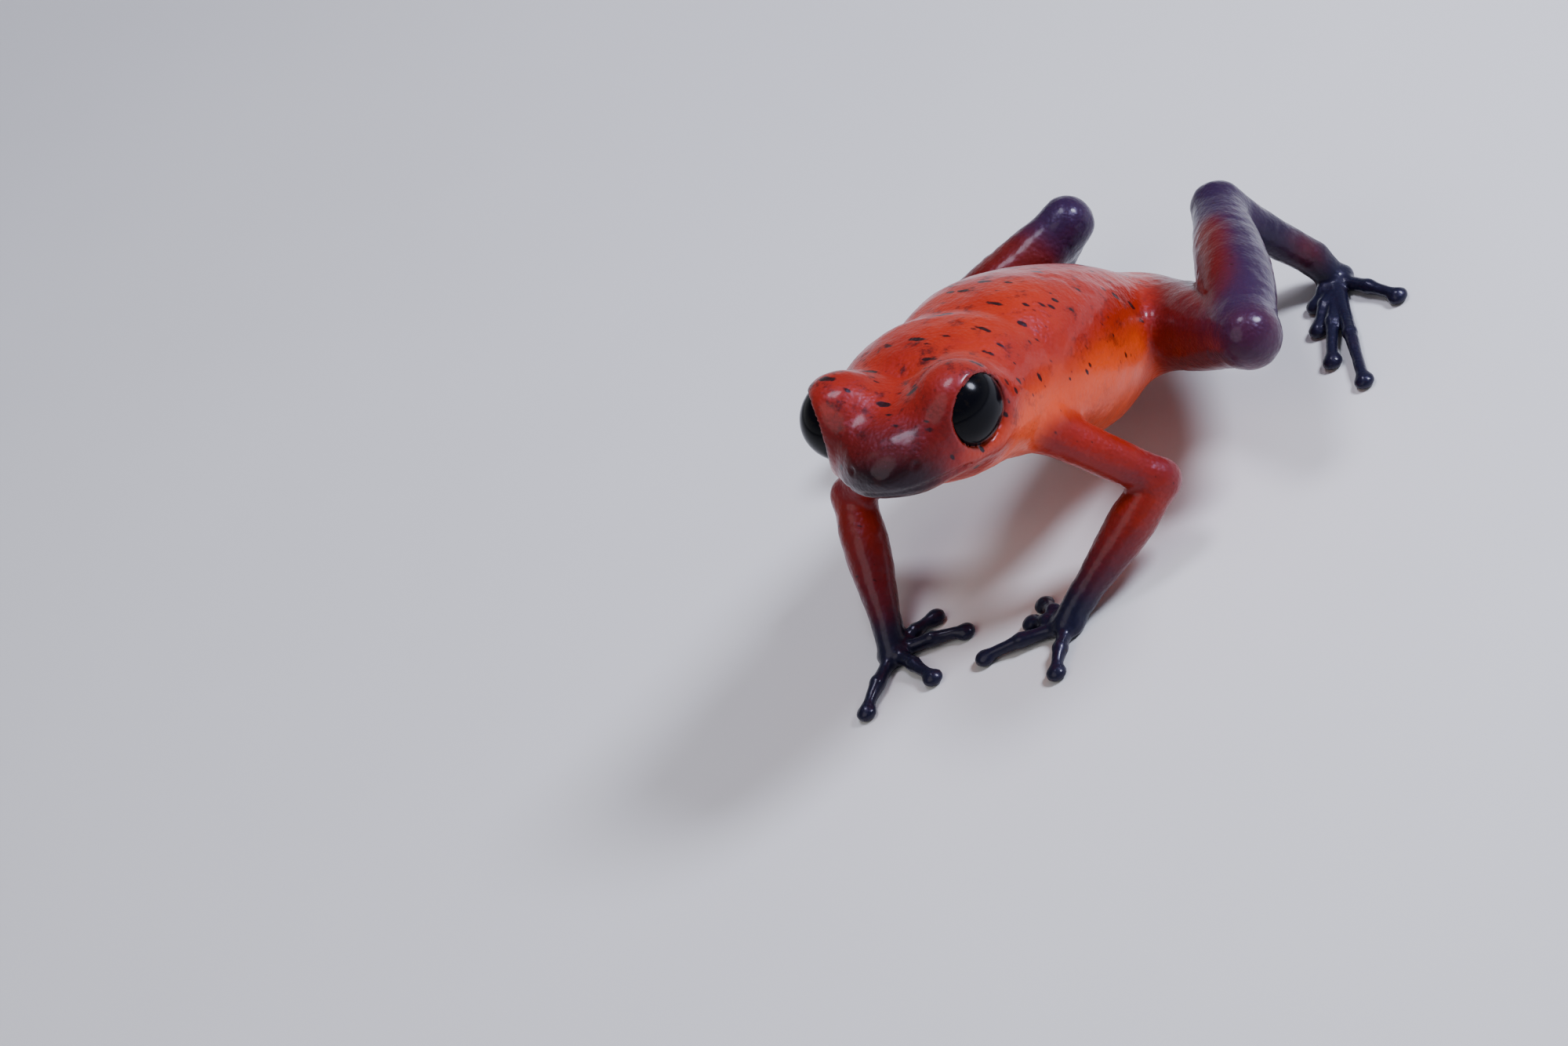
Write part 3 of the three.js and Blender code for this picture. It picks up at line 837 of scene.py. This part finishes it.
def tint_joints(points, masks):
    """Purple and navy knees, partly the legs' own colour and partly a painted bluish sheen, and a dull red
    patch above each ankle.
    """
    for name in SIDES:
        place = joints(name)
        # painted sheen: the knee's purple and navy stand partly for a bluish sheen, partly for the leg's
        # own colour
        knee = hill(away_from(points, place["knee"]), KNEE_REACH)
        patch = hill(away_from(points, place["ankle"] + ANKLE_PATCH), PATCH_REACH)
        masks["purple"] = np.maximum(masks["purple"], knee) * (1 - 0.9 * patch)
        masks["navy"] = np.maximum(masks["navy"], 0.35 * knee) * (1 - 0.8 * patch)


def tint_head(points, which, masks):
    """Darker lids, and a snout that darkens to near black below the nostrils."""
    local = in_head(points)
    on_head_skin = np.isin(which, HEAD_PIECES)
    snout = on_head_skin * blend_step(-local[:, 1], 0.2, 3.4)
    lids = on_head_skin * hill(away_from(mirrored_head(local), EYE), LID_TINT_REACH)
    masks["dark_red"] = np.maximum(masks["dark_red"], np.maximum(snout, 0.8 * lids))
    masks["purple"] = np.maximum(masks["purple"], 0.35 * lids)
    front = blend_step(-local[:, 1], 1.5, 3.4)
    masks["snout_black"] = on_head_skin * front * (1 - blend_step(local[:, 2], -0.9, 0.4))


def flecked_skin(points, which):
    """How many flecks the skin carries: most on the head and along the back."""
    height = blend_step(in_trunk(points)[:, 2], -1.2, 2.4)
    body = np.where(which == 0, 0.2 + 0.75 * height, 0.12)
    return np.where(np.isin(which, HEAD_PIECES), 0.6 + 0.55 * height, body)


def painted_flank_light_and_lip(points, which):
    """Painted light on the lower flanks, and the lighter orange of the upper lip from below the eye to the
    shoulder.
    """
    # painted light: lighter orange low on the flanks, where the overhead light leaves shade
    flank = (which == 0) * (1 - blend_step(in_trunk(points)[:, 2], -1.0, 2.2))
    local = in_head(points)
    height = local[:, 2] - MOUTH_LEVEL - 0.12 * np.maximum(local[:, 1], 0)
    lip = hill(height - 0.45, 0.42) * blend_step(local[:, 1], -2.6, -1.7)
    return np.maximum(flank, 0.65 * np.isin(which, HEAD_PIECES) * lip)


def wrinkled_skin(points, which, share):
    """Where the skin is drawn into small cross folds: all over the shanks, and near other joints."""
    amount = np.zeros(len(points))
    for index, piece in enumerate(PIECES):
        if piece.kind in FOLDED:
            mine = which == index
            ends = np.abs(share[mine] - 0.5) * 2
            amount[mine] = 0.9 if piece.kind == "shank" else 0.2 + 0.5 * ends**3
    return amount


def skin_masks(points, links):
    """A value at each point for each name in MASKS, softened over the mesh."""
    which, share = nearest_piece(points)
    masks = {name: np.zeros(len(points)) for name in MASKS}
    tint_parts(which, share, masks)
    redden_inner_shanks(points, which, masks)
    tint_joints(points, masks)
    tint_head(points, which, masks)
    masks["flecked"] = flecked_skin(points, which)
    masks["wrinkled"] = wrinkled_skin(points, which, share)
    # the bright mask: painted light on the flanks, and the lip's own lighter orange
    masks["bright"] = painted_flank_light_and_lip(points, which)
    masks["dark_red"] *= 1 - 0.8 * masks["bright"]
    for name in MASKS:
        for _ in range(TINT_ROUNDS):
            masks[name] = neighbour_mean(masks[name], links)
    return masks


# Objects
def to_part(points):
    """From the pose's frame in millimetres to the part's frame in metres."""
    return (points - PART_MIDDLE) * MM


def build_object(name, points, faces, material):
    mesh = bpy.data.meshes.new(name)
    mesh.from_pydata(to_part(points).tolist(), [], faces)
    mesh.validate()
    mesh.polygons.foreach_set("use_smooth", [True] * len(mesh.polygons))
    mesh.materials.append(material)
    made = bpy.data.objects.new(name, mesh)
    bpy.context.scene.collection.objects.link(made)
    return made


def add_mask(made, name, values):
    layer = made.data.attributes.new(name, "FLOAT", "POINT")
    layer.data.foreach_set("value", np.ascontiguousarray(values, np.float32))


# Shader nodes. Noise scales are in waves per metre.
def new_material(name):
    material = bpy.data.materials.new(name)
    material.use_nodes = True
    nodes = material.node_tree.nodes
    return material, nodes, material.node_tree.links, nodes["Principled BSDF"]


def add_node(nodes, kind, **settings):
    """A node with its own settings and its sockets' values, by name."""
    node = nodes.new(kind)
    for key, value in settings.items():
        if hasattr(node, key):
            setattr(node, key, value)
        else:
            node.inputs[key.replace("_", " ")].default_value = value
    return node


def set_inputs(node, values):
    for name, value in values.items():
        node.inputs[name].default_value = value


def feed(links, socket, value):
    """Gives a socket a number or colour of its own, or links another node's output to it."""
    if isinstance(value, (int, float, tuple)):
        socket.default_value = value
    else:
        links.new(value, socket)


def math_node(nodes, links, operation, first, second):
    node = nodes.new("ShaderNodeMath")
    node.operation = operation
    feed(links, node.inputs[0], first)
    feed(links, node.inputs[1], second)
    return node.outputs[0]


def mix_colour(nodes, links, amount, first, second):
    node = nodes.new("ShaderNodeMix")
    node.data_type = "RGBA"
    for number, value in ((0, amount), (6, first), (7, second)):
        feed(links, node.inputs[number], value)
    return node.outputs[2]


def ramp(nodes, links, value, low, high):
    """A soft step from 0 to 1 between two values."""
    node = nodes.new("ShaderNodeMapRange")
    node.interpolation_type = "SMOOTHSTEP"
    set_inputs(node, {"From Min": low, "From Max": high})
    links.new(value, node.inputs["Value"])
    return node.outputs["Result"]


def object_place(nodes):
    return nodes.new("ShaderNodeTexCoord").outputs["Object"]


def noise(nodes, links, place, scale, detail=3.0, roughness=0.55):
    node = add_node(nodes, "ShaderNodeTexNoise", Scale=scale, Detail=detail, Roughness=roughness)
    links.new(place, node.inputs["Vector"])
    return node.outputs["Fac"]


def mapped(nodes, links, place, turn, scale):
    """Places turned and stretched for a pattern that lies one way."""
    node = nodes.new("ShaderNodeMapping")
    set_inputs(node, {"Rotation": turn, "Scale": scale})
    links.new(place, node.inputs["Vector"])
    return node.outputs["Vector"]


def mask_value(nodes, name):
    return add_node(nodes, "ShaderNodeAttribute", attribute_name=name).outputs["Fac"]


def wet_film_group():
    """Uneven wetness: a slow pattern that sets how rough a surface is."""
    tree = bpy.data.node_groups.new("wet_film", "ShaderNodeTree")
    for name in ("Scale", "Smoothest", "Roughest"):
        tree.interface.new_socket(name, in_out="INPUT", socket_type="NodeSocketFloat")
    tree.interface.new_socket("Roughness", in_out="OUTPUT", socket_type="NodeSocketFloat")
    nodes, links = tree.nodes, tree.links
    given, result = nodes.new("NodeGroupInput"), nodes.new("NodeGroupOutput")
    pattern = add_node(nodes, "ShaderNodeTexNoise", Detail=4.0)
    links.new(object_place(nodes), pattern.inputs["Vector"])
    links.new(given.outputs["Scale"], pattern.inputs["Scale"])
    spread = nodes.new("ShaderNodeMapRange")
    set_inputs(spread, {"From Min": 0.3, "From Max": 0.7})
    links.new(pattern.outputs["Fac"], spread.inputs["Value"])
    links.new(given.outputs["Smoothest"], spread.inputs["To Min"])
    links.new(given.outputs["Roughest"], spread.inputs["To Max"])
    links.new(spread.outputs["Result"], result.inputs["Roughness"])
    return tree


WET_FILM = wet_film_group()


def wet_roughness(nodes, scale, smoothest, roughest):
    group = nodes.new("ShaderNodeGroup")
    group.node_tree = WET_FILM
    set_inputs(group, {"Scale": scale, "Smoothest": smoothest, "Roughest": roughest})
    return group.outputs["Roughness"]


# The skin's material
def dash_mask(nodes, links, place, turn, scale, largest):
    """Short ragged dashes that lie one way, no two alike."""
    cells = add_node(nodes, "ShaderNodeTexVoronoi", Scale=scale, Randomness=1.0)
    links.new(mapped(nodes, links, place, turn, (1.0, 2.8, 1.3)), cells.inputs["Vector"])
    frayed = math_node(nodes, links, "SUBTRACT", noise(nodes, links, place, 2600.0), 0.5)
    frayed = math_node(nodes, links, "MULTIPLY", frayed, 0.55)
    edge = math_node(nodes, links, "ADD", cells.outputs["Distance"], frayed)
    split = nodes.new("ShaderNodeSeparateColor")
    links.new(cells.outputs["Color"], split.inputs["Color"])
    size = ramp(nodes, links, split.outputs["Red"], 0.35, 1.0)
    size = math_node(nodes, links, "MULTIPLY", size, largest)
    limit = math_node(nodes, links, "MULTIPLY", size, mask_value(nodes, "flecked"))
    return ramp(nodes, links, math_node(nodes, links, "SUBTRACT", limit, edge), -0.07, 0.05)


def fleck_mask(nodes, links, place):
    """Small dark dashes over the head and back, with fainter smudges between them."""
    steep = dash_mask(nodes, links, place, (0.5, 0.3, 0.9), 880.0, 0.27)
    slanting = dash_mask(nodes, links, place, (0.2, 0.9, 2.3), 1050.0, 0.25)
    dashes = math_node(nodes, links, "MAXIMUM", steep, slanting)
    smudges = ramp(nodes, links, noise(nodes, links, place, 1400.0, 4.0, 0.7), 0.53, 0.70)
    smudges = math_node(nodes, links, "MULTIPLY", smudges, mask_value(nodes, "flecked"))
    smudges = math_node(nodes, links, "MULTIPLY", smudges, 0.7)
    return math_node(nodes, links, "MAXIMUM", dashes, smudges)


def cross_folds(nodes, links, place):
    """Short uneven folds, as soft skin has over a joint."""
    node = add_node(nodes, "ShaderNodeTexNoise", noise_type="RIDGED_MULTIFRACTAL", Scale=1900.0, Detail=2.0)
    links.new(mapped(nodes, links, place, (0.6, 0.4, 0.0), (0.55, 0.55, 1.0)), node.inputs["Vector"])
    return math_node(nodes, links, "MULTIPLY", node.outputs["Fac"], 1.1)


def skin_height(nodes, links, place):
    """Fine grains and folds, with slower swells under them."""
    grains = add_node(nodes, "ShaderNodeTexVoronoi", feature="SMOOTH_F1", Scale=6200.0, Smoothness=0.4)
    links.new(place, grains.inputs["Vector"])
    pebbles = math_node(nodes, links, "MULTIPLY", grains.outputs["Distance"], -0.9)
    fine = math_node(nodes, links, "MULTIPLY", noise(nodes, links, place, 9000.0, 2.0), 0.35)
    slow = math_node(nodes, links, "MULTIPLY", noise(nodes, links, place, 1500.0), 0.9)
    folds = cross_folds(nodes, links, place)
    folds = math_node(nodes, links, "MULTIPLY", folds, mask_value(nodes, "wrinkled"))
    small = math_node(nodes, links, "ADD", pebbles, fine)
    large = math_node(nodes, links, "ADD", slow, folds)
    return math_node(nodes, links, "ADD", small, large)


def skin_colour(nodes, links, place):
    """Red and orange with each tint laid over them where its mask says, and flecks on top."""
    uneven = math_node(nodes, links, "SUBTRACT", noise(nodes, links, place, 420.0, 4.0), 0.5)
    uneven = math_node(nodes, links, "MULTIPLY", uneven, 0.5)
    patches = ramp(nodes, links, noise(nodes, links, place, 200.0), 0.35, 0.65)
    colour = mix_colour(nodes, links, patches, RED, ORANGE)
    for name, tint in TINT_COLOURS.items():
        mask = mask_value(nodes, name)
        ragged = math_node(nodes, links, "MULTIPLY", uneven, ramp(nodes, links, mask, 0.0, 0.3))
        amount = ramp(nodes, links, math_node(nodes, links, "ADD", mask, ragged), 0.05, 0.95)
        colour = mix_colour(nodes, links, amount, colour, tint)
    return mix_colour(nodes, links, fleck_mask(nodes, links, place), colour, FLECK)


def skin_material():
    material, nodes, links, shader = new_material("wet_frog_skin")
    place = object_place(nodes)
    set_inputs(shader, SKIN_FINISH)
    links.new(skin_colour(nodes, links, place), shader.inputs["Base Color"])
    links.new(wet_roughness(nodes, 700.0, 0.34, 0.5), shader.inputs["Roughness"])
    bump = add_node(nodes, "ShaderNodeBump", Strength=0.55, Distance=0.00004)
    links.new(skin_height(nodes, links, place), bump.inputs["Height"])
    links.new(bump.outputs["Normal"], shader.inputs["Normal"])
    return material


def add_skin():
    points, faces, links = skin_mesh()
    made = build_object("frog_skin", points, faces.tolist(), skin_material())
    for name, values in skin_masks(points, links).items():
        add_mask(made, name, values)
    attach(made, "root")
    flesh = [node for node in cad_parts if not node.startswith("eye_")]
    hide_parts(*flesh)


# Eyes
def eye_material():
    """Near black, with a faint bronze ring round the pupil."""
    material, nodes, links, shader = new_material("wet_black_eye")
    from_pupil = mask_value(nodes, "from_pupil")
    outside = math_node(nodes, links, "SUBTRACT", 1.0, ramp(nodes, links, from_pupil, 0.85, 1.0))
    iris = math_node(nodes, links, "MULTIPLY", ramp(nodes, links, from_pupil, 0.5, 0.62), outside)
    streaks = ramp(nodes, links, noise(nodes, links, object_place(nodes), 5000.0), 0.5, 0.75)
    bronze = mix_colour(nodes, links, streaks, EYE_BLACK, EYE_BRONZE)
    set_inputs(shader, EYE_FINISH)
    links.new(mix_colour(nodes, links, iris, EYE_BLACK, bronze), shader.inputs["Base Color"])
    links.new(wet_roughness(nodes, 900.0, 0.1, 0.2), shader.inputs["Roughness"])
    return material


def ball_mesh(rings, sides):
    """A ball's points as angles from its front pole and round it, and its faces."""
    polar = np.linspace(0, math.pi, rings + 1)[1:-1]
    turn = np.linspace(0, 2 * math.pi, sides, endpoint=False)
    p, t = [a.ravel() for a in np.meshgrid(polar, turn, indexing="ij")]
    p, t = np.concatenate([[0], p, [math.pi]]), np.concatenate([[0], t, [0]])
    grid = 1 + np.arange((rings - 1) * sides).reshape(rings - 1, sides)
    beside = np.roll(grid, -1, axis=1)
    faces = np.stack([grid[:-1], grid[1:], beside[1:], beside[:-1]], -1).reshape(-1, 4).tolist()
    last = len(p) - 1
    faces += [[0, int(a), int(b)] for a, b in zip(grid[0], beside[0])]
    faces += [[last, int(b), int(a)] for a, b in zip(grid[-1], beside[-1])]
    return p, t, faces


def add_eye(name, material):
    """An eyeball with a slightly raised clear front and an oval pupil marked on it."""
    side = SIDES[name]
    look, upward, onward = eye_axes(side)
    from_front, turn, faces = ball_mesh(EYE_RINGS, EYE_SIDES)
    radius = EYE_RADIUS * (1 + CORNEA_RISE * hill(from_front, CORNEA_REACH))
    across = np.sin(from_front) * radius
    level, upright = np.cos(turn) * across, np.sin(turn) * across
    points = on_head(EYE, side) + np.outer(np.cos(from_front) * radius, look)
    points = points + np.outer(level, onward) + np.outer(upright, upward)
    made = build_object(f"eyeball_{name}", points, faces, material)
    from_pupil = np.hypot(level / PUPIL_WIDENING, upright) / EYE_RADIUS
    add_mask(made, "from_pupil", from_pupil + (from_front > EYE_BACK))
    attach(made, "root")
    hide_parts(f"eye_{name}")


# Camera, floor and lights
def camera_axes():
    a, e, r = [math.radians(v) for v in (VIEW_AZIMUTH, VIEW_ELEVATION, VIEW_ROLL)]
    back = np.array([math.sin(a) * math.cos(e), -math.cos(a) * math.cos(e), math.sin(e)])
    level = np.array([math.cos(a), math.sin(a), 0.0])
    over = np.cross(back, level)
    right = level * math.cos(r) + over * math.sin(r)
    up = over * math.cos(r) - level * math.sin(r)
    return right, up, back


def add_camera():
    right, up, back = camera_axes()
    place = to_part(back * VIEW_DISTANCE - right * VIEW_ASIDE - up * VIEW_BELOW)
    data = bpy.data.cameras.new("camera")
    data.lens, data.sensor_width = LENS, SENSOR
    data.clip_start, data.clip_end = 0.01, 10.0
    made = bpy.data.objects.new("camera", data)
    turn = Matrix(np.stack([right, up, back], 1).tolist())
    made.matrix_world = Matrix.Translation(Vector(place)) @ turn.to_4x4()
    bpy.context.scene.collection.objects.link(made)
    bpy.context.scene.camera = made


def add_light(name, place, size, power, colour):
    """A soft round light that faces the frog."""
    data = bpy.data.lights.new(name, "AREA")
    data.shape, data.size, data.energy, data.color = "DISK", size, power, colour
    made = bpy.data.objects.new(name, data)
    made.location = Vector(place)
    made.rotation_euler = (LIGHT_AIM - made.location).to_track_quat("-Z", "Y").to_euler()
    bpy.context.scene.collection.objects.link(made)


def add_lights():
    right, up, back = camera_axes()
    for name, ((ahead, above, aside), size, power, colour) in LIGHTS.items():
        place = to_part(back * ahead + up * above + right * aside)
        add_light(name, place, size, power, colour)


def floor_material():
    material, nodes, links, shader = new_material("pale_floor")
    soft = noise(nodes, links, object_place(nodes), 60.0)
    links.new(mix_colour(nodes, links, soft, *FLOOR_COLOURS), shader.inputs["Base Color"])
    set_inputs(shader, {"Roughness": 0.8})
    return material


def add_floor():
    corners = [(-1, -1), (1, -1), (1, 1), (-1, 1)]
    mesh = bpy.data.meshes.new("floor")
    mesh.from_pydata([(x * FLOOR_HALF, y * FLOOR_HALF, 0) for x, y in corners], [], [(0, 1, 2, 3)])
    mesh.materials.append(floor_material())
    made = bpy.data.objects.new("floor", mesh)
    bpy.context.scene.collection.objects.link(made)


def add_sky():
    """Surroundings as pale as the floor at its edge, and dimmer overhead, so no edge is mirrored."""
    world = bpy.data.worlds.new("studio")
    world.use_nodes = True
    nodes, links = world.node_tree.nodes, world.node_tree.links
    split = nodes.new("ShaderNodeSeparateXYZ")
    links.new(nodes.new("ShaderNodeTexCoord").outputs["Generated"], split.inputs["Vector"])
    height = ramp(nodes, links, split.outputs["Z"], 0.0, 0.45)
    links.new(mix_colour(nodes, links, height, *SKY_COLOURS), nodes["Background"].inputs["Color"])
    bpy.context.scene.world = world


add_camera()
add_floor()
add_sky()
add_lights()
add_skin()
black_eye = eye_material()
for eye_name in SIDES:
    add_eye(eye_name, black_eye)
